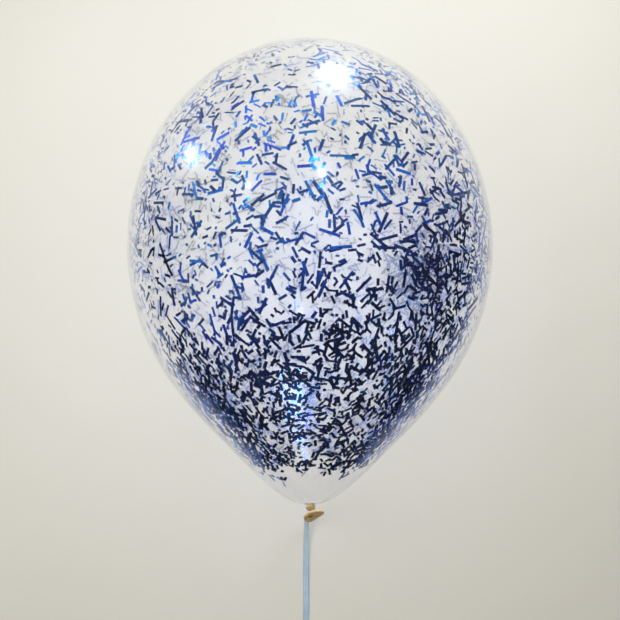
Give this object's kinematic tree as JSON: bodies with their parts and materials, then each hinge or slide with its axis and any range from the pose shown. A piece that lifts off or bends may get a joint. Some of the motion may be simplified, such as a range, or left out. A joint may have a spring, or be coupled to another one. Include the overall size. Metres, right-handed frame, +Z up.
{
  "type": "glitter balloon",
  "caption": "Clear latex party balloon lined with blue metallic glitter strips, knotted at the neck and lying on its side, with a light blue ribbon tied on.",
  "frame": {"origin": "on the floor, under the middle of the lying balloon's own box, without the ribbon", "axes": "+Y along the balloon's long axis, from the neck towards the crown; +Z up, as it lies on its side; +X across it"},
  "size_m": [0.3, 0.5692, 0.2979],
  "materials": {
    "clear_latex": "clear stretched latex, glossy, slightly milky towards its edge; amber where it is slack, at the knot and the rolled lip",
    "glitter": "metallised royal blue film, cut in short flat strips",
    "ribbon": "light blue curling ribbon with a soft sheen"
  },
  "bodies": {
    "root": {"balloon": "clear_latex", "ribbon_tie": "ribbon", "ribbon": "ribbon", "ribbon_loop": "ribbon"}
  },
  "joints": []
}
